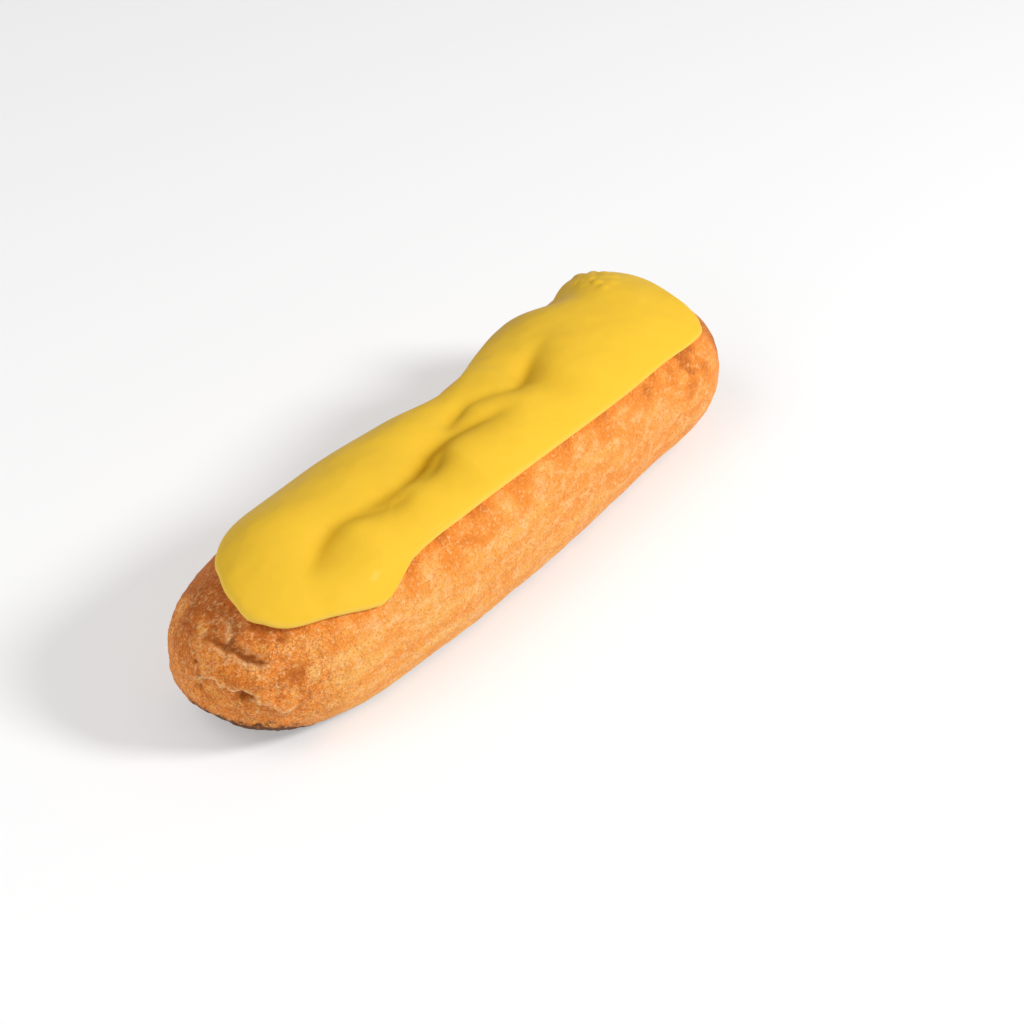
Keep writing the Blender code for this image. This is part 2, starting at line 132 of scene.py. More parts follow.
# Their shared sizes, in mm where they aren't shares.
CREASE_ROUNDING = 0.75  # radius at the bottom of the icing's creases
HIDDEN_WALL = 4.5  # least reach of the walls in the crust, below the icing
HIDDEN_ROUNDING = 3.0
CREASE_SHADE_DEPTH = 4.0  # painted shade: the icing is painted darkest where a crease is this deep
CREASE_SHADE_FRONT = 1.6  # how far that painted shade reaches towards -Y, as a share of the wall's reach
CREASE_SHADE_BACK = 0.4  # and how far towards +Y
PATH_STEPS = 6  # straight steps between two rows of a path

# Splits in the crust of the -X end, on the way to -Y: rows of y, z, depth, and how far the walls
# below and above reach.
SPLITS = [
    [
        (4, 23.9, 0.0, 0.6, 0.6), (1.5, 23.6, 0.5, 0.6, 0.6), (-1, 23.4, 0.9, 0.6, 0.6),
        (-2.6, 23.2, 1.0, 0.6, 0.7), (-4.2, 22.9, 1.0, 0.6, 0.7), (-5.2, 22.3, 1.1, 0.5, 0.7),
        (-6.5, 22.0, 1.1, 0.4, 0.5), (-8.5, 21.4, 0.7, 0.3, 0.4), (-9.5, 21.3, 0.0, 0.3, 0.4),
    ],
    [
        (0.6, 27.2, 0.0, 0.3, 0.3), (-1, 26.6, 0.5, 0.3, 0.3), (-2.1, 25.9, 0.6, 0.3, 0.3),
        (-2.2, 25, 0.6, 0.3, 0.3), (-2.1, 24.1, 0.5, 0.3, 0.3), (-1.9, 23.4, 0.3, 0.3, 0.3),
    ],
]
SPLIT_ROUNDING = 0.2
# The pale rim below a split: how pale it is, where, as a share of the wall's reach, and half its width.
SPLIT_RIM = 0.5
SPLIT_RIM_AT = 1.4
SPLIT_RIM_WIDTH = 0.3
# Edges of flakes there: rows of y, z and how proud the skin stands above the edge.
FLAKES = [
    [
        (5, 15.8, 0.0), (3, 16.0, 0.4), (1.7, 16.5, 0.6), (-0.5, 17.8, 0.7), (-2.3, 17.5, 0.8),
        (-3, 17.0, 0.8), (-4.4, 17.1, 0.9), (-5.1, 16.6, 1.0), (-6.3, 17.0, 0.9),
        (-7.2, 16.4, 0.8), (-8.0, 15.3, 0.7), (-8.8, 14.0, 0.7), (-9.7, 13.0, 0.7),
        (-10.7, 12.4, 0.8), (-11.1, 11.5, 0.8), (-11.8, 11.3, 0.7), (-13, 11.8, 0.5),
        (-14, 12.2, 0.0),
    ],
    [
        (-3, 24.3, 0.0), (-4.2, 24.2, 0.2), (-5.4, 23.7, 0.3), (-6.7, 22.9, 0.3),
        (-7.6, 22.2, 0.2), (-9, 21.8, 0.0),
    ],
    [
        (-1.5, 23.4, 0.0), (-1.7, 24.1, 0.2), (-1.8, 25, 0.2), (-1.7, 25.9, 0.2),
        (-0.7, 26.8, 0.2), (0.6, 27.4, 0.0),
    ],
]
FLAKE_REACH = 2.8  # how far above its edge a flake stands proud
FLAKE_EDGE = 0.2  # half width of the step at its edge
# Beside that edge, a pale rim above it and a line of painted shade below it: where, and half the width.
FLAKE_RIM_AT = -0.25
FLAKE_RIM_WIDTH = 0.35
FLAKE_SHADE = 0.35  # how dark that painted shade is
FLAKE_SHADE_AT = 0.5
FLAKE_SHADE_WIDTH = 0.4
# Pits there: y, z, radius, depth.
PITS = [
    (-6.7, 15.2, 0.9, 1.1), (2.7, 19.5, 0.6, 0.5), (1.5, 17.2, 0.6, 0.4), (1.7, 14.7, 0.6, 0.4),
    (-9.5, 24.5, 0.6, 0.3),
]
PIT_POWER = 4  # how steep their walls are
WARP = 0.5  # how far noise moves all of these about
CRAG_FRONT = -62 * MM  # all of these are whole in front of this x
CRAG_BACK = -52 * MM  # and have faded out by this one
UNEVEN_HEIGHT = 0.22 * MM
UNEVEN_WAVES = [(2.3, 3, 0.4), (3.7, -2, 1.9), (5.1, 5, 3.1), (6.6, -4, 4.4)]
FLOOR_FADE = math.radians(30)
MOST_CONTACT_TURN = math.radians(170)

ICING_TOP = 1.9 * MM  # height of the icing's surface above the crust
ICING_SUNK = 0.2 * MM  # how far its hidden underside reaches into the crust
ICING_LIP = 1.6 * MM
LIP_MIDDLE = 0.4  # height of the lip's outermost line, as a share of the icing's
LIP_TUCK = 0.3  # how far the lip curls back under itself, as a share of its width
LIP_RINGS = [0.0, 0.02, 0.06, 0.12, 0.2, 0.3, 0.45, 0.7, 1.0]
# Its outline: x, turn.
ICING_EDGE = [
    (61.4, -18), (61.1, -32), (60.1, -43), (58.4, -49.3), (54.8, -51.6), (44, -52.3),
    (30, -51.5), (12, -48.7), (-3, -47), (-12, -46.5), (-20, -46.8), (-27, -47.5),
    (-31.5, -49.1), (-34.6, -51.5), (-37, -54.5), (-39.5, -57.9), (-41.8, -59.8), (-44.5, -59),
    (-48, -55.3), (-52.3, -50.2), (-57, -45), (-61.5, -28), (-61.5, -5), (-59, 14), (-54.5, 32),
    (-47, 43), (-36, 48), (-22, 48), (-11, 42), (-2, 32), (6, 28), (13, 31), (20, 39), (28, 46),
    (37, 50), (48, 46), (57, 38), (61.5, 18),
]
# Bubbles and pimples under its skin: x, turn, radius, height.
BUBBLES = [
    (55.4, 34, 1.3, 0.45), (53.4, 30, 1.8, 0.35), (54.9, 24.5, 1.9, 0.4), (51.4, 26.5, 1.2, 0.5),
    (56.3, 18, 1.2, 0.5), (53.0, 18.5, 1.1, 0.55), (50.6, 19, 1.7, 0.3), (54.4, 13, 1.7, 0.4),
    (51.6, 11.5, 1.1, 0.55), (53.2, 7, 1.4, 0.35), (50.6, 5.5, 0.9, 0.4), (57, 28, 0.9, 0.4),
    (51.9, 22, 0.9, 0.45), (56.2, 10.5, 0.9, 0.35),
    (-38.3, -37.6, 0.5, 0.14), (-40.1, -43.3, 0.5, 0.14), (-41.4, -46.6, 0.4, 0.12),
    (-39.2, -40.5, 0.4, 0.1), (-25.1, -17.5, 0.4, 0.15), (-15.7, 20.5, 0.4, 0.15),
    (-26.3, -7.1, 0.5, 0.15), (-28, -4, 0.4, 0.12),
]
BUBBLE_POWER = 4  # how steep their sides are
ICING_HALF_LENGTH = 60 * MM
ICING_HALF_TURN = math.radians(50)
SPINE_HALF_LENGTH = 42 * MM

# Fineness of the meshes.
CRUST_RINGS = 330
CRUST_COLUMNS = 290
NEAR_CAP_RINGS = 0.3
FAR_CAP_RINGS = 0.2
SIDE_COLUMNS = 0.9
ICING_GRID = (330, 104)

# Colours, linear.
CRUST_GOLD = (0.95, 0.46, 0.10)
CRUST_ORANGE = (0.90, 0.28, 0.035)
CRUST_PALE = (1.0, 0.63, 0.29)
CRUST_RUSSET = (0.58, 0.155, 0.017)
CRUST_RED = (0.48, 0.10, 0.018)
# This brown serves the toasted patches and also painted shade in the -X end's splits, pits and below its
# flake edges.
CRUST_BROWN_TOAST_AND_SHADE = (0.36, 0.09, 0.01)
CRUST_BASE_DARK = (0.06, 0.02, 0.008)
ICING_YELLOW = (0.775, 0.475, 0.035)
# Painted shade: the icing's darker amber in its creases and on the far part of its +Y flank.
ICING_SHADE_AMBER = (0.45, 0.235, 0.005)
# Painted highlight along the icing's lip.
ICING_RIM_HIGHLIGHT = (0.88, 0.66, 0.2)

# Browner patches of the crust: (x, turn), reach, strength.
Toast = namedtuple("Toast", "x turn reach strength")
# The broad faint patch at x 63, turn -72 is partly painted shade over the far end.
TOASTED = [
    Toast(63, -72, 11, 0.18), Toast(51.4, -57, 3.4, 0.68), Toast(46.4, -62.5, 3.0, 0.42),
    Toast(41.1, -59.4, 3.4, 0.36), Toast(37.3, -63.4, 3.0, 0.3), Toast(55.5, -74.3, 2.8, 0.4),
    Toast(50.5, -78.7, 3.2, 0.28), Toast(64, -50, 4, 0.4), Toast(66, -75, 5, 0.4),
    Toast(33, -57, 3, 0.15), Toast(24, -58, 4, 0.3), Toast(10, -55, 5, 0.22),
    Toast(-3, -57, 4, 0.25), Toast(-15, -57, 5, 0.28), Toast(-24, -58, 5, 0.28),
    Toast(-33, -60, 4, 0.25), Toast(-57, 44, 7, 0.55), Toast(-62, 20, 6, 0.65),
    Toast(-64, -3, 4, 0.6), Toast(-62, -32, 3.5, 0.45), Toast(-61, -74, 2.2, 0.6),
    Toast(-66, -24, 2.5, 0.4), Toast(-52, -64, 4, 0.25), Toast(-68, -75, 3.5, 0.25),
    Toast(-68, 40, 5, 0.4), Toast(-20, 62, 8, 0.3), Toast(25, 60, 9, 0.3),
    Toast(63, 30, 5, 0.4),
]
TOAST_FADE = (1.3, 0.3)  # shares of a patch's reach where it starts and where it is full
TOAST_RAGGED = 0.45  # how ragged noise makes a patch
TOAST_UNEVEN = 0.12  # how much that noise adds everywhere
# The crust is browner beside the icing too, and over the -X end from the first x to the second, in mm.
EDGE_TOAST = 0.28
EDGE_TOAST_REACH = 1.6
EDGE_POINTS = 900  # points of the edge, to measure from
END_TOAST = 0.28
END_TOAST_SPAN = (-50, -64)
# The skin is more orange, and sunk a little, in bands along the side: turn, spread, strength.
BANDS = [(66, 6, 0.5), (81, 4, 0.45), (94, 4, 0.65), (110, 5, 0.5)]
BAND_WANDER = [(2.5, 17, 0.6), (1.5, 7.3, 0.0)]  # swing in degrees, length in mm, phase
GROOVE_DEPTH = 0.12  # in mm
# The skin of the -X end is torn where this noise passes these levels, each a step in height.
SKIN_LEVELS = [-0.2, 0.08]
SKIN_STEP = 0.07 * MM
SKIN_SPAN = (-50, -63)  # from no skins to all of them, x in mm
SKIN_EDGE = 0.05  # half width of a step, in the noise's own terms
SKIN_RIM = 0.03  # and of the pale rim on it
SKIN_PALE = 0.5  # how pale that rim is
# Fine relief of the crust in mm, and the x between which the -X end gets rougher.
BROAD_HEIGHT = 0.10
FINE_HEIGHT = 0.06
END_HEIGHT = 0.04
END_SPAN = (-48, -62)
SMOOTH_ABOVE_FLOOR = 1.5
# Noises that shape it: size of their features, octaves, and a shift that makes each one its own.
Grain = namedtuple("Grain", "size octaves shift")
WARP_ACROSS = Grain(1.4 * MM, 3, 11.0)
WARP_UP = Grain(1.4 * MM, 3, 13.0)
SKIN_LAYERS = Grain(4.5 * MM, 6, 6.1)
BROAD_GRAIN = Grain(5 * MM, 3, 1.7)
FINE_GRAIN = Grain(1.3 * MM, 2, 4.2)
TOAST_GRAIN = Grain(3.5 * MM, 3, 8.0)

# Patterns in the crust's colour: a noise's size, detail and roughness, its values from none to all,
# the least and most that the pattern gives, and how it is squeezed along each axis.
Pattern = namedtuple("Pattern", "size detail roughness span share squeeze", defaults=((0.0, 1.0), (1, 1, 1)))
MOTTLE = Pattern(4.5 * MM, 4, 0.6, (0.42, 0.58), (0.0, 0.45), (0.5, 1, 1))
BLOTCHES = Pattern(1.7 * MM, 5, 0.7, (0.46, 0.68), (0.0, 0.6), (0.7, 1, 1))
TOAST_SPECKLE = Pattern(0.9 * MM, 3, 0.7, (0.25, 0.75), (0.7, 1.3))
GOLD_PATCHES = Pattern(3.0 * MM, 5, 0.7, (0.5, 0.62), (0.0, 0.75))
RUSSET_PATCHES = Pattern(2.4 * MM, 5, 0.7, (0.52, 0.4), (0.0, 0.7))
PORES = Pattern(0.4 * MM, 4, 0.8, (0.54, 0.38))
SPECKS = Pattern(0.65 * MM, 3, 0.7, (0.5, 0.7))
BLUSH = Pattern(2.5 * MM, 3, 0.6, (0.35, 0.7), (0.2, 0.8))
TORN_RIMS = Pattern(0.7 * MM, 3, 0.7, (0.3, 0.55))
BASE_DARK_RIM = Pattern(2.0 * MM, 4, 0.7, (0.3, 0.7), (0.75, 1.1))
# Ramps in the materials: from, to, and what they give at each where that isn't 0 and 1.
ROUGH_END = (-46 * MM, -62 * MM)  # x
FAR_TOAST_AND_SHADE = (-25 * MM, 45 * MM, 0.0, 0.35)  # x, and how much more orange the crust gets towards +X: partly browner baking, partly painted shade over the far end
TOAST_ORANGE = (0.0, 0.3)
TOAST_RUSSET = (0.2, 0.8)
TOAST_BROWN = (0.7, 1.3)
TOAST_BLUSH = (0.3, 0.9, 1.0, 0.45)  # pale specks are fewer where it is toasted
PORE_STRENGTH = (0.0, 1.0, 0.5, 0.85)  # from the smooth crust to the rough end
BASE_DARK_HEIGHT = (-50 * MM, -69 * MM, 1.8 * MM, 10.2 * MM)  # x, and how high the dark band along the floor reaches
BASE_DARK_FADE = (1.0, 0.8, 0.0, 0.9)  # height as a share of that
SHADED_FLANK = (7 * MM, 16 * MM)  # y over which the icing's +Y flank is painted with shade
FAR_FLANK_SHADE = (-15 * MM, 20 * MM, 0.0, 0.4)  # x, and how much painted shade that flank gets
# The most of one colour that another may get.
MOST_BAND = 0.85
MOST_CRAG_SHADE = 0.85
MOST_PALE = 0.9
MOST_CREASE_SHADE = 0.85
MOST_RIM_HIGHLIGHT = 0.4
# Bumps in the materials: a noise's size, detail and roughness, and its height.
CRUST_BUMPS = [(1.3 * MM, 3, 0.6, 0.5 * MM), (0.42 * MM, 3, 0.65, 0.4 * MM)]
ICING_BUMPS = [(11 * MM, 2, 0.5, 1.2 * MM), (1.1 * MM, 3, 0.55, 0.03 * MM)]

# Camera: where it looks, from how far, and from which way round and how high.
LOOK_AT = Vector((16.5 * MM, 0.0, 0.0))
CAMERA_DISTANCE = 555.1 * MM
CAMERA_AZIMUTH = math.radians(-52.5)
CAMERA_ELEVATION = math.radians(38.15)
LENS_MM = 100
SENSOR_MM = 36
NEAREST_SEEN = 10 * MM

# Lights: azimuth and elevation in degrees, distance and size in metres, watts.
LIGHTS = {
    "key": (25, 38, 0.8, 0.2, 4.9),
    "back": (-115, 55, 0.8, 0.5, 1.6),
    "fill": (-80, 28, 0.8, 0.5, 1.1),
}
WORLD_STRENGTH = 0.34
FLOOR_HALF = 3.0  # metres from its middle to its sides


def smooth_through(stations, values, where):
    """A smooth curve through values at increasing stations, read at where."""
    stations = np.asarray(stations, float)
    values = np.asarray(values, float)
    slopes = np.gradient(values, stations)
    where = np.clip(where, stations[0], stations[-1])
    left = np.searchsorted(stations, where, side="right") - 1
    left = np.clip(left, 0, len(stations) - 2)
    step = stations[left + 1] - stations[left]
    t = (where - stations[left]) / step
    from_left = (1 + 2 * t) * (1 - t) ** 2 * values[left] + t * (1 - t) ** 2 * step * slopes[left]
    from_right = t * t * (3 - 2 * t) * values[left + 1]
    return from_left + from_right + t * t * (t - 1) * step * slopes[left + 1]


def smoothstep(low, high, value):
    """From 0 at low to 1 at high, which may be the smaller of the two."""
    t = np.clip((value - low) / (high - low), 0, 1)
    return t * t * (3 - 2 * t)


def drifting(values, x):
    """A size in metres at x, from its list in millimetres."""
    stations = np.linspace(-LENGTH / 2, LENGTH / 2, len(values))
    return smooth_through(stations, values, x) * MM


def end_scale(x):
    """How much of its full section the finger has at x: 1 along the middle, 0 at the tips."""
    near = np.clip((x + LENGTH / 2) / NEAR_CAP, 0, 1)
    far = np.clip((LENGTH / 2 - x) / FAR_CAP, 0, 1)
    return ((1 - (1 - near) ** 2) * (1 - (1 - far) ** 2)) ** (CAP_POWER / 2)


def contact_turn(x):
    """The turn at which the side meets the floor."""
    drop = np.maximum(BASE_DROP * end_scale(x), MM)
    reach = np.minimum((SHOULDER / drop) ** (BASE_SQUARENESS / 2), 1)
    return np.minimum(math.pi - np.arccos(reach), MOST_CONTACT_TURN)


def beside_path(rows, u, v):
    """How far (u, v) lies to the left of a smooth path, negative to its right, and the row beside it.

    The path's rows start with their own (u, v), and the rest of each row comes back as smooth columns.
    """
    columns = np.transpose(rows)
    run = np.concatenate([[0], np.cumsum(np.hypot(*np.diff(columns[:2])))])
    where = np.linspace(0, run[-1], PATH_STEPS * (len(rows) - 1) + 1)
    line_u, line_v = [smooth_through(run, column, where) for column in columns[:2]]
    beside = np.full_like(u, np.inf)
    along = np.zeros_like(u)
    for start in range(len(where) - 1):
        run_u = line_u[start + 1] - line_u[start]
        run_v = line_v[start + 1] - line_v[start]
        t = ((u - line_u[start]) * run_u + (v - line_v[start]) * run_v) / (run_u**2 + run_v**2)
        t = np.clip(t, 0, 1)
        off_u = u - line_u[start] - t * run_u
        off_v = v - line_v[start] - t * run_v
        gap = np.hypot(off_u, off_v)
        closer = gap < np.abs(beside)
        beside = np.where(closer, np.copysign(gap, run_u * off_v - run_v * off_u), beside)
        along = np.where(closer, where[start] + t * (where[start + 1] - where[start]), along)
    return [beside] + [smooth_through(run, column, along) for column in columns[2:]]


def groove(beside, depth, right, left, rounding):
    """A groove's height beside its path, with unlike walls to its right and left."""
    away = np.hypot(beside, rounding) - rounding
    return -depth * np.exp(-away / np.where(beside < 0, right, left))


def beside_crease(rows, x, turn):
    """beside_path along rows of x in mm and turn in degrees, measured on the crown."""
    path = [(at, math.radians(around) * CROWN_RADIUS / MM, *rest) for at, around, *rest in rows]
    return beside_path(path, x / MM, turn * CROWN_RADIUS / MM)


def crease_relief(x, turn, sharp):
    """Height of the creases: sharp in the icing's surface, and softer in the crust below it."""
    least_reach = 0 if sharp else HIDDEN_WALL
    rounding = CREASE_ROUNDING if sharp else HIDDEN_ROUNDING
    height = np.zeros_like(x)
    for rows in CREASES:
        beside, depth, front, back = beside_crease(rows, x, turn)
        front = np.maximum(front, least_reach)
        back = np.maximum(back, least_reach)
        height += groove(beside, depth, front, back, rounding)
    for rows in SWALES:
        beside, depth, front, back = beside_crease(rows, x, turn)
        height += groove(beside, depth, front, back, HIDDEN_ROUNDING)
    return height * MM


def crease_shade_share(x, turn):
    """How much painted shade the icing gets in its creases, 0 to 1, by their depth and mostly on the side
    towards -Y.
    """
    share = np.zeros_like(x)
    for rows in CREASES:
        beside, depth, front, _ = beside_crease(rows, x, turn)
        share -= groove(beside, depth / CREASE_SHADE_DEPTH, CREASE_SHADE_FRONT * front, CREASE_SHADE_BACK, CREASE_ROUNDING)
    return np.clip(share, 0, 1)


def crown_relief(x, turn):
    """Height of the lumps and slow waves above the plain form."""
    height = np.zeros_like(x)
    for lump in LUMPS:
        along = (x / MM - lump.x) / lump.reach
        around = (np.degrees(turn) - lump.turn) / lump.spread
        height += lump.height * MM * np.exp(-(along**2) - around**2)
    above_floor = np.clip((contact_turn(x) - np.abs(turn)) / FLOOR_FADE, 0, 1)
    for along, around, phase in UNEVEN_WAVES:
        wave = np.sin(along * math.tau * x / LENGTH + around * turn + phase)
        height += UNEVEN_HEIGHT / len(UNEVEN_WAVES) * wave * above_floor
    return height


def stripe(value, middle, half_width):
    """1 where the value is at the middle, fading out on both sides of it."""
    return np.exp(-(((value - middle) / half_width) ** 2))


def crags(point):
    """The -X end's splits, flakes and pits: their height, how pale their rims are, and how much painted shade
    they get in the splits and pits and below the flake edges.
    """
    x, y, z = np.moveaxis(point / MM, -1, 0)
    end = x < CRAG_BACK / MM
    y[end] += WARP * fractal(point[end], WARP_ACROSS)
    z[end] += WARP * fractal(point[end], WARP_UP)
    height = np.zeros_like(x)
    pale = np.zeros_like(x)
    crag_shade = np.zeros_like(x)
    for rows in SPLITS:
        beside, depth, below, above = beside_path(rows, y, z)
        cut = groove(beside, depth, above, below, SPLIT_ROUNDING)
        height += cut
        crag_shade -= cut
        pale += SPLIT_RIM * depth * stripe(beside, SPLIT_RIM_AT * below, SPLIT_RIM_WIDTH)
    for rows in FLAKES:
        beside, proud = beside_path(rows, y, z)
        above = np.maximum(-beside, 0) / FLAKE_REACH
        height += proud * np.exp(-(above**2)) * (1 - np.tanh(beside / FLAKE_EDGE)) / 2
        pale += proud * stripe(beside, FLAKE_RIM_AT, FLAKE_RIM_WIDTH)
        crag_shade += FLAKE_SHADE * proud * stripe(beside, FLAKE_SHADE_AT, FLAKE_SHADE_WIDTH)
    for pit_y, pit_z, radius, depth in PITS:
        pit = np.exp(-((np.hypot(y - pit_y, z - pit_z) / radius) ** PIT_POWER))
        height -= depth * pit
        crag_shade += pit
    share = np.clip((CRAG_BACK / MM - x) / (CRAG_BACK - CRAG_FRONT) * MM, 0, 1)
    return height * share * MM, pale * share, crag_shade * share


def bubble_relief(x, turn):
    """Height of the icing's bubbles, the highest of them where they overlap."""
    height = np.zeros_like(x)
    for at, around, radius, rise in BUBBLES:
        away = np.hypot(x / MM - at, (turn - math.radians(around)) * CROWN_RADIUS / MM) / radius
        height = np.maximum(height, rise * MM * np.exp(-(away**BUBBLE_POWER)))
    return height


def plain_crust(x, turn):
    """Points of the finger without its relief."""
    scale = end_scale(x)
    rise = np.where(np.cos(turn) > 0, drifting(CROWN_HEIGHTS, x) - SHOULDER, BASE_DROP)
    power = np.where(np.cos(turn) > 0, 2 / TOP_SQUARENESS, 2 / BASE_SQUARENESS)
    across = np.sign(np.sin(turn)) * np.abs(np.sin(turn)) ** power
    up = np.sign(np.cos(turn)) * np.abs(np.cos(turn)) ** power
    y = drifting(SIDE_SHIFTS, x) + drifting(HALF_WIDTHS, x) * scale * across
    return np.stack([x, y, SHOULDER + rise * scale * up], axis=-1)


def outward(point):
    """Unit vectors away from the finger's core."""
    x, y, z = np.moveaxis(point, -1, 0)
    away_x = x - np.clip(x, CORE_NEAR, CORE_FAR)
    away = np.stack([away_x, y - drifting(SIDE_SHIFTS, x), z - SHOULDER], axis=-1)
    return away / np.linalg.norm(away, axis=-1, keepdims=True)


def crust_point(x, turn, raised=0.0, sharp=False):
    """Points of the crust, or of a surface raised above it, perhaps with sharp creases."""
    plain = plain_crust(x, turn)
    height = crown_relief(x, turn) + crease_relief(x, turn, sharp) + crags(plain)[0] + raised
    point = plain + outward(plain) * height[..., None]
    point[..., 2] = np.maximum(point[..., 2], 0)
    return point


def icing_edge(angle):
    """(x, turn) of the icing's edge, by its direction from the middle of the icing."""
    x, turn = np.transpose(ICING_EDGE)
    x = x[::-1] * MM
    turn = np.radians(turn[::-1])
    direction = np.unwrap(np.arctan2(turn / ICING_HALF_TURN, x / ICING_HALF_LENGTH))
    direction = np.concatenate([direction - math.tau, direction, direction + math.tau])
    return [smooth_through(direction, np.tile(values, 3), angle) for values in (x, turn)]


def fractal(points, grain):
    """A grain's smooth noise, about 0, at points in metres."""
    shift = Vector((grain.shift, 2.3 * grain.shift, 5.1 * grain.shift))
    return np.array([noise.fractal(Vector(p) / grain.size + shift, 1.0, 2.0, grain.octaves) for p in points])


def points_of(mesh):
    flat = np.empty(len(mesh.vertices) * 3)
    mesh.vertices.foreach_get("co", flat)
    return flat.reshape(-1, 3)


def set_points(mesh, points):
    mesh.vertices.foreach_set("co", np.asarray(points, np.float32).ravel())
    mesh.update()


def store(mesh, name, values):
    """A value for each vertex, which the material reads by name."""
    mesh.attributes.new(name, "FLOAT", "POINT").data.foreach_set("value", values.astype(np.float32))


def add_object(name, bm, material):
    mesh = bpy.data.meshes.new(name)
    bm.to_mesh(mesh)
    bm.free()
    mesh.materials.append(material)
    piece = bpy.data.objects.new(name, mesh)
    bpy.context.scene.collection.objects.link(piece)
    return piece


def finish_piece(piece, node):
    piece.data.shade_smooth()
    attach(piece, "root")
    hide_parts(node)


def x_of_ring(share):
    """x of the crust's rings, from share 0 at the -X tip to 1 at the +X tip."""
    near = np.clip(share / NEAR_CAP_RINGS, 0, 1) * math.pi / 2
    far = np.clip((1 - share) / FAR_CAP_RINGS, 0, 1) * math.pi / 2
    middle = np.clip((share - NEAR_CAP_RINGS) / (1 - NEAR_CAP_RINGS - FAR_CAP_RINGS), 0, 1)
    straight = LENGTH - NEAR_CAP - FAR_CAP
    return -LENGTH / 2 + NEAR_CAP * (1 - np.cos(near)) + straight * middle + FAR_CAP * np.cos(far)


def band_share(x, turn):
    """How far a point is in one of the bands along the side, which wander a little."""
    wander = sum(swing * np.sin(x / MM / length + phase) for swing, length, phase in BAND_WANDER)
    share = np.zeros_like(x)
    for middle, spread, strength in BANDS:
        share += strength * stripe(np.degrees(np.abs(turn)) + wander, middle, spread)
    return share


def skins(points):
    """Thin torn layers of skin at the -X end: their height, and how close to an edge each point is."""
    flaky = smoothstep(*SKIN_SPAN, points[:, 0] / MM)
    layers = fractal(points, SKIN_LAYERS)
    height = np.zeros_like(layers)
    rim = np.zeros_like(layers)
    for level in SKIN_LEVELS:
        height += SKIN_STEP * flaky * np.tanh((layers - level) / SKIN_EDGE)
        rim += flaky * stripe(layers, level + SKIN_RIM, SKIN_RIM)
    return height, rim


def crust_grain(points, x, turn):
    """Fine relief of the baked skin."""
    rough_end = smoothstep(*END_SPAN, x / MM)
    above_floor = smoothstep(0.0, SMOOTH_ABOVE_FLOOR, points[:, 2] / MM)
    broad = BROAD_HEIGHT * fractal(points, BROAD_GRAIN)
    fine = (FINE_HEIGHT + END_HEIGHT * rough_end) * fractal(points, FINE_GRAIN)
    grooves = GROOVE_DEPTH * band_share(x, turn)
    return (broad + fine - grooves + skins(points)[0] / MM) * above_floor * MM


def toasting(points):
    """How browned the crust is, 0 to 1: beside the icing, at the -X end and in patches."""
    angle = np.linspace(-math.pi, math.pi, EDGE_POINTS, endpoint=False)
    edge = crust_point(*icing_edge(angle))
    tree = kdtree.KDTree(len(edge))
    for index, point in enumerate(edge):
        tree.insert(point, index)
    tree.balance()
    beside = np.array([tree.find(p)[2] for p in points]) / MM
    ragged = fractal(points, TOAST_GRAIN)
    toast = EDGE_TOAST * stripe(beside, 0, EDGE_TOAST_REACH)
    toast += END_TOAST * smoothstep(*END_TOAST_SPAN, points[:, 0] / MM)
    for patch in TOASTED:
        middle = crust_point(np.array([patch.x * MM]), np.array([math.radians(patch.turn)]))
        away = np.linalg.norm(points - middle, axis=1) / (patch.reach * MM)
        toast += patch.strength * smoothstep(*TOAST_FADE, away - TOAST_RAGGED * ragged)
    return np.clip(toast + TOAST_UNEVEN * ragged, 0, 1)


def make_crust(material):
    """A sphere with its poles along X, drawn onto the crust."""
    bm = bmesh.new()
    bmesh.ops.create_uvsphere(bm, u_segments=CRUST_COLUMNS, v_segments=CRUST_RINGS, radius=1)
    bmesh.ops.reverse_faces(bm, faces=bm.faces)
    piece = add_object("crust", bm, material)
    ball = points_of(piece.data)
    x = x_of_ring(np.arccos(np.clip(-ball[:, 2], -1, 1)) / math.pi)
    column = np.arctan2(ball[:, 1], ball[:, 0]) / math.pi
    contact = contact_turn(x)
    side = np.minimum(np.abs(column) / SIDE_COLUMNS, 1) * contact
    under = np.maximum(np.abs(column) - SIDE_COLUMNS, 0) / (1 - SIDE_COLUMNS) * (math.pi - contact)
    turn = np.sign(column) * (side + under)
    rough = crust_point(x, turn)
    points = crust_point(x, turn, crust_grain(rough, x, turn))
    set_points(piece.data, points)
    store(piece.data, "toast", toasting(points))
    store(piece.data, "band", band_share(x, turn))
    # The -X end's pale rims, and painted shade in its splits, pits and below its flake edges.
    _, pale, crag_shade = crags(plain_crust(x, turn))
    store(piece.data, "pale", pale + SKIN_PALE * skins(rough)[1])
    store(piece.data, "crag_shade", crag_shade)
    finish_piece(piece, "choux_pastry")


def icing_layout(flat):
    """(x, turn, inset) of the grid's points: rings that close in from the edge on a spine."""
    grid = np.array(ICING_GRID)
    rings = grid.min() / 2
    lip_rings = len(LIP_RINGS) - 1
    ring = np.rint(((1 - np.abs(flat)) * grid / 2).min(axis=1))
    half = 1 - 2 * ring[:, None] / grid
    square = np.divide(flat, half, out=np.zeros_like(flat), where=half > 0)
    edge_x, edge_turn = icing_edge(np.arctan2(square[:, 1], square[:, 0]))
    spine_x = square[:, 0] * SPINE_HALF_LENGTH
    reach = np.hypot(edge_x - spine_x, edge_turn * CROWN_RADIUS)
    inset = np.interp(ring, range(len(LIP_RINGS)), LIP_RINGS)
    lip = inset * ICING_LIP / reach
    inward = lip + (1 - lip) * np.clip((ring - lip_rings) / (rings - lip_rings), 0, 1)
    return edge_x + (spine_x - edge_x) * inward, edge_turn * (1 - inward), inset


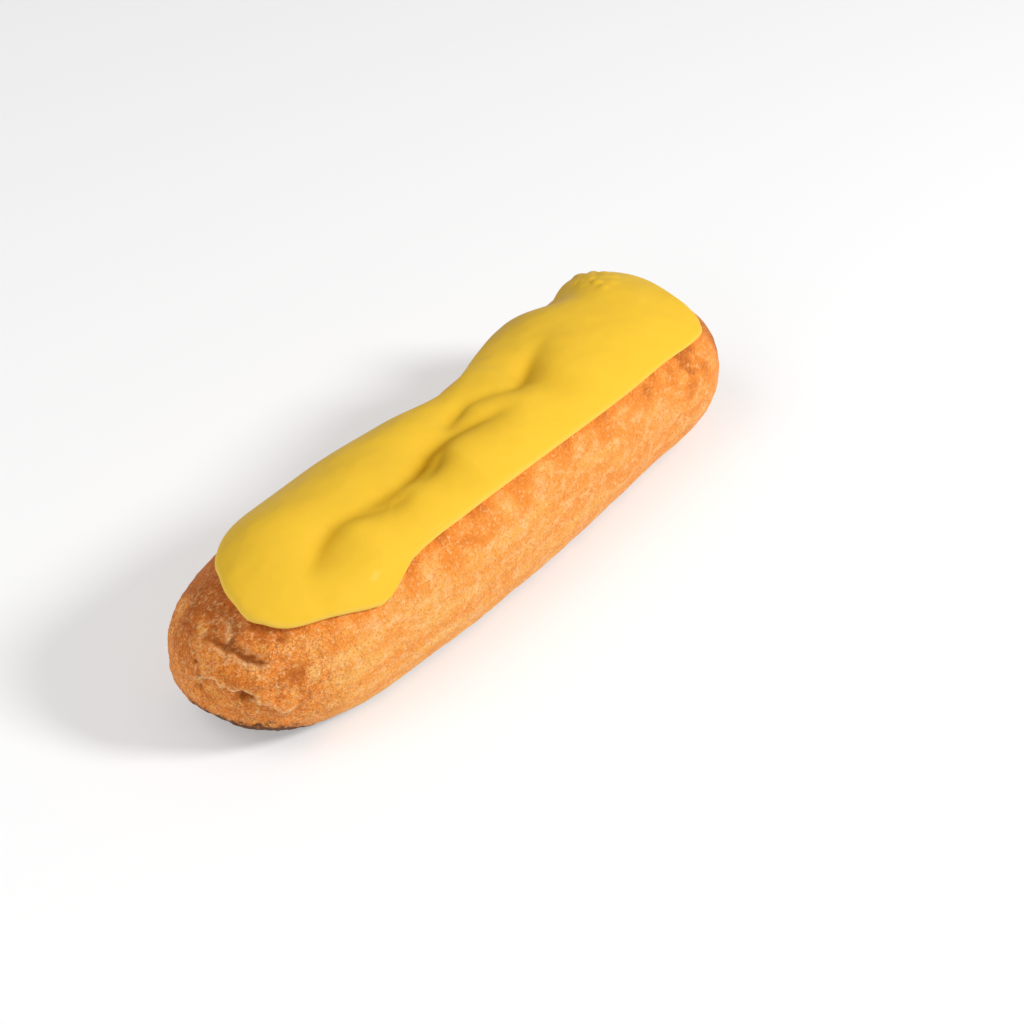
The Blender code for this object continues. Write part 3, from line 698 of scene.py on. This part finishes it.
def make_icing(material):
    """A grid drawn onto the icing's outline, then thickened to a rounded lip."""
    bm = bmesh.new()
    bmesh.ops.create_grid(bm, x_segments=ICING_GRID[0], y_segments=ICING_GRID[1], size=1)
    flat = np.array([vert.co[:2] for vert in bm.verts])
    place = bm.verts.layers.int.new("place")
    for index, vert in enumerate(bm.verts):
        vert[place] = index
    thickened = bmesh.ops.extrude_face_region(bm, geom=bm.faces[:])
    for item in thickened["geom"]:
        if isinstance(item, bmesh.types.BMVert):
            item[place] += len(flat)
    bmesh.ops.recalc_face_normals(bm, faces=bm.faces)
    piece = add_object("icing_skin", bm, material)
    x, turn, inset = icing_layout(flat)
    over = ICING_TOP * (LIP_MIDDLE + (1 - LIP_MIDDLE) * np.sqrt(1 - (1 - inset) ** 2))
    tuck = np.sqrt(1 - (1 - np.clip(inset / LIP_TUCK, 0, 1)) ** 2)
    under = ICING_TOP * LIP_MIDDLE * (1 - tuck) - ICING_SUNK * tuck
    over += bubble_relief(x, turn)
    points = np.concatenate([crust_point(x, turn, under), crust_point(x, turn, over, sharp=True)])
    index = np.empty(len(points), np.int32)
    piece.data.attributes["place"].data.foreach_get("value", index)
    set_points(piece.data, points[index])
    piece.data.attributes.remove(piece.data.attributes["place"])
    # Painted shade in the icing's creases, by their depth.
    store(piece.data, "crease_shade", np.tile(crease_shade_share(x, turn), 2)[index])
    # Painted highlight along the icing's lip, strongest at its edge.
    store(piece.data, "rim", np.tile((1 - inset) ** 2, 2)[index])
    finish_piece(piece, "icing")


class Nodes:
    """Shorthand for building a material's node tree."""

    def __init__(self, name):
        self.material = bpy.data.materials.new(name)
        self.material.use_nodes = True
        self.tree = self.material.node_tree
        self.shader = self.tree.nodes["Principled BSDF"]
        self.place = self.add("ShaderNodeTexCoord").outputs["Object"]

    def add(self, kind, **settings):
        node = self.tree.nodes.new(kind)
        for key, value in settings.items():
            setattr(node, key, value)
        return node

    def link(self, source, target):
        self.tree.links.new(source, target)

    def set(self, socket, value):
        """Sets a socket to a number or colour, or links it to another node's output."""
        if isinstance(value, bpy.types.NodeSocket):
            self.link(value, socket)
        elif socket.type == "RGBA":
            socket.default_value = (*value, 1)
        else:
            socket.default_value = value

    def attribute(self, name):
        return self.add("ShaderNodeAttribute", attribute_name=name).outputs["Fac"]

    def noise(self, size, detail, roughness, squeeze=(1, 1, 1)):
        """Noise from 0 to 1 with features of about this size in metres."""
        mapping = self.add("ShaderNodeMapping")
        mapping.inputs["Scale"].default_value = squeeze
        self.link(self.place, mapping.inputs["Vector"])
        node = self.add("ShaderNodeTexNoise")
        self.link(mapping.outputs["Vector"], node.inputs["Vector"])
        node.inputs["Scale"].default_value = 1 / size
        node.inputs["Detail"].default_value = detail
        node.inputs["Roughness"].default_value = roughness
        return node.outputs["Fac"]

    def coordinate(self, axis):
        """One of the coordinates of the point that is shaded, in metres."""
        node = self.add("ShaderNodeSeparateXYZ")
        self.link(self.place, node.inputs["Vector"])
        return node.outputs[axis]

    def ramp(self, value, low, high, to_low=0.0, to_high=1.0):
        """A smooth ramp from to_low, where value is low, to to_high, where it is high."""
        node = self.add("ShaderNodeMapRange", interpolation_type="SMOOTHSTEP")
        self.set(node.inputs["Value"], value)
        for name, number in zip(("From Min", "From Max", "To Min", "To Max"), (low, high, to_low, to_high)):
            node.inputs[name].default_value = number
        return node.outputs["Result"]

    def pattern(self, kind):
        """How much of a Pattern there is at the point that is shaded."""
        noise_value = self.noise(kind.size, kind.detail, kind.roughness, kind.squeeze)
        return self.ramp(noise_value, *kind.span, *kind.share)

    def math(self, operation, a, b):
        node = self.add("ShaderNodeMath", operation=operation)
        self.set(node.inputs[0], a)
        self.set(node.inputs[1], b)
        return node.outputs["Value"]

    def mix(self, share, a, b):
        """Colour a with this share of colour b."""
        node = self.add("ShaderNodeMix", data_type="RGBA")
        self.set(node.inputs["Factor"], share)
        self.set(node.inputs[6], a)
        self.set(node.inputs[7], b)
        return node.outputs[2]

    def bump(self, height, distance, below=None):
        node = self.add("ShaderNodeBump")
        node.inputs["Distance"].default_value = distance
        self.link(height, node.inputs["Height"])
        if below is not None:
            self.link(below, node.inputs["Normal"])
        return node.outputs["Normal"]

    def bumps(self, rows):
        """Bumps on bumps, each a noise's size, detail, roughness and height."""
        normal = None
        for size, detail, roughness, height in rows:
            normal = self.bump(self.noise(size, detail, roughness), height, normal)
        self.link(normal, self.shader.inputs["Normal"])


def crust_material():
    n = Nodes("baked_crust")
    rough_end = n.ramp(n.coordinate("X"), *ROUGH_END)
    # More orange towards +X: partly browner baking, partly painted shade over the far end.
    far_toast_and_shade = n.ramp(n.coordinate("X"), *FAR_TOAST_AND_SHADE)
    colour = n.mix(n.math("ADD", n.pattern(MOTTLE), far_toast_and_shade), CRUST_GOLD, CRUST_ORANGE)
    colour = n.mix(n.math("MINIMUM", n.attribute("band"), MOST_BAND), colour, CRUST_ORANGE)
    colour = n.mix(n.pattern(BLOTCHES), colour, CRUST_PALE)
    toast = n.math("MULTIPLY", n.attribute("toast"), n.pattern(TOAST_SPECKLE))
    colour = n.mix(n.ramp(toast, *TOAST_ORANGE), colour, CRUST_ORANGE)
    colour = n.mix(n.math("MULTIPLY", n.pattern(GOLD_PATCHES), rough_end), colour, CRUST_GOLD)
    colour = n.mix(n.math("MULTIPLY", n.pattern(RUSSET_PATCHES), rough_end), colour, CRUST_RUSSET)
    colour = n.mix(n.ramp(toast, *TOAST_RUSSET), colour, CRUST_RUSSET)
    colour = n.mix(n.ramp(toast, *TOAST_BROWN), colour, CRUST_BROWN_TOAST_AND_SHADE)
    pores = n.math("MULTIPLY", n.pattern(PORES), n.ramp(rough_end, *PORE_STRENGTH))
    colour = n.mix(pores, colour, n.mix(rough_end, CRUST_RUSSET, CRUST_RED))
    blush = n.math("MULTIPLY", n.pattern(BLUSH), n.ramp(toast, *TOAST_BLUSH))
    colour = n.mix(n.math("MULTIPLY", n.pattern(SPECKS), blush), colour, CRUST_PALE)
    # Painted shade in the splits and pits of the -X end and below its flake edges.
    colour = n.mix(n.math("MINIMUM", n.attribute("crag_shade"), MOST_CRAG_SHADE), colour, CRUST_BROWN_TOAST_AND_SHADE)
    torn = n.math("MULTIPLY", n.attribute("pale"), n.pattern(TORN_RIMS))
    colour = n.mix(n.math("MINIMUM", torn, MOST_PALE), colour, CRUST_PALE)
    # The -X end is darker near the floor, in a ragged band.
    reach = n.math("MULTIPLY", n.pattern(BASE_DARK_RIM), n.ramp(n.coordinate("X"), *BASE_DARK_HEIGHT))
    base_dark = n.ramp(n.math("DIVIDE", n.coordinate("Z"), reach), *BASE_DARK_FADE)
    n.link(n.mix(base_dark, colour, CRUST_BASE_DARK), n.shader.inputs["Base Color"])
    n.shader.inputs["Roughness"].default_value = 0.6
    n.shader.inputs["Specular IOR Level"].default_value = 0.12
    n.bumps(CRUST_BUMPS)
    return n.material


def icing_material():
    n = Nodes("yellow_icing")
    # Painted shade: amber in the creases and on the far part of the +Y flank.
    crease_shade = n.math("MULTIPLY", n.attribute("crease_shade"), MOST_CREASE_SHADE)
    far_flank_shade = n.math("MULTIPLY", n.ramp(n.coordinate("Y"), *SHADED_FLANK), n.ramp(n.coordinate("X"), *FAR_FLANK_SHADE))
    colour = n.mix(n.math("MAXIMUM", crease_shade, far_flank_shade), ICING_YELLOW, ICING_SHADE_AMBER)
    # Painted highlight along the lip.
    colour = n.mix(n.math("MULTIPLY", n.attribute("rim"), MOST_RIM_HIGHLIGHT), colour, ICING_RIM_HIGHLIGHT)
    n.link(colour, n.shader.inputs["Base Color"])
    n.shader.inputs["Roughness"].default_value = 0.5
    n.shader.inputs["Specular IOR Level"].default_value = 0.06
    n.shader.inputs["Specular Tint"].default_value = (1.0, 0.82, 0.4, 1)
    n.shader.inputs["Coat Weight"].default_value = 0.02
    n.shader.inputs["Coat Roughness"].default_value = 0.12
    n.shader.inputs["Subsurface Weight"].default_value = 0.12
    n.shader.inputs["Subsurface Scale"].default_value = 0.8 * MM
    n.shader.inputs["Subsurface Radius"].default_value = (1.0, 0.7, 0.2)
    n.bumps(ICING_BUMPS)
    return n.material


def from_camera(azimuth, elevation):
    """The direction from what is looked at towards a place this way round and high."""
    level = math.cos(elevation)
    return Vector((math.sin(azimuth) * level, -math.cos(azimuth) * level, math.sin(elevation)))


def add_camera():
    data = bpy.data.cameras.new("camera")
    data.lens = LENS_MM
    data.sensor_width = SENSOR_MM
    data.clip_start = NEAREST_SEEN
    camera = bpy.data.objects.new("camera", data)
    back = from_camera(CAMERA_AZIMUTH, CAMERA_ELEVATION)
    camera.location = LOOK_AT + back * CAMERA_DISTANCE
    camera.rotation_euler = (-back).to_track_quat("-Z", "Y").to_euler()
    bpy.context.scene.collection.objects.link(camera)
    bpy.context.scene.camera = camera


def add_light(name, azimuth, elevation, distance, size, watts):
    data = bpy.data.lights.new(name, "AREA")
    data.shape = "DISK"
    data.size = size
    data.energy = watts
    light = bpy.data.objects.new(name, data)
    direction = from_camera(math.radians(azimuth), math.radians(elevation))
    light.location = direction * distance
    light.rotation_euler = (-direction).to_track_quat("-Z", "Y").to_euler()
    bpy.context.scene.collection.objects.link(light)


def add_floor():
    bm = bmesh.new()
    bmesh.ops.create_grid(bm, x_segments=1, y_segments=1, size=FLOOR_HALF)
    material = bpy.data.materials.new("pale_floor")
    material.use_nodes = True
    shader = material.node_tree.nodes["Principled BSDF"]
    shader.inputs["Base Color"].default_value = (0.65, 0.65, 0.65, 1)
    shader.inputs["Emission Color"].default_value = (1, 1, 1, 1)
    shader.inputs["Emission Strength"].default_value = 0.3
    shader.inputs["Roughness"].default_value = 0.8
    floor = add_object("floor", bm, material)


def set_world(strength):
    world = bpy.data.worlds.new("studio")
    world.use_nodes = True
    world.node_tree.nodes["Background"].inputs["Color"].default_value = (1, 1, 1, 1)
    world.node_tree.nodes["Background"].inputs["Strength"].default_value = strength
    bpy.context.scene.world = world


add_camera()
make_crust(crust_material())
make_icing(icing_material())
add_floor()
set_world(WORLD_STRENGTH)
for name, setting in LIGHTS.items():
    add_light(name, *setting)
bpy.context.scene.view_settings.view_transform = "Standard"
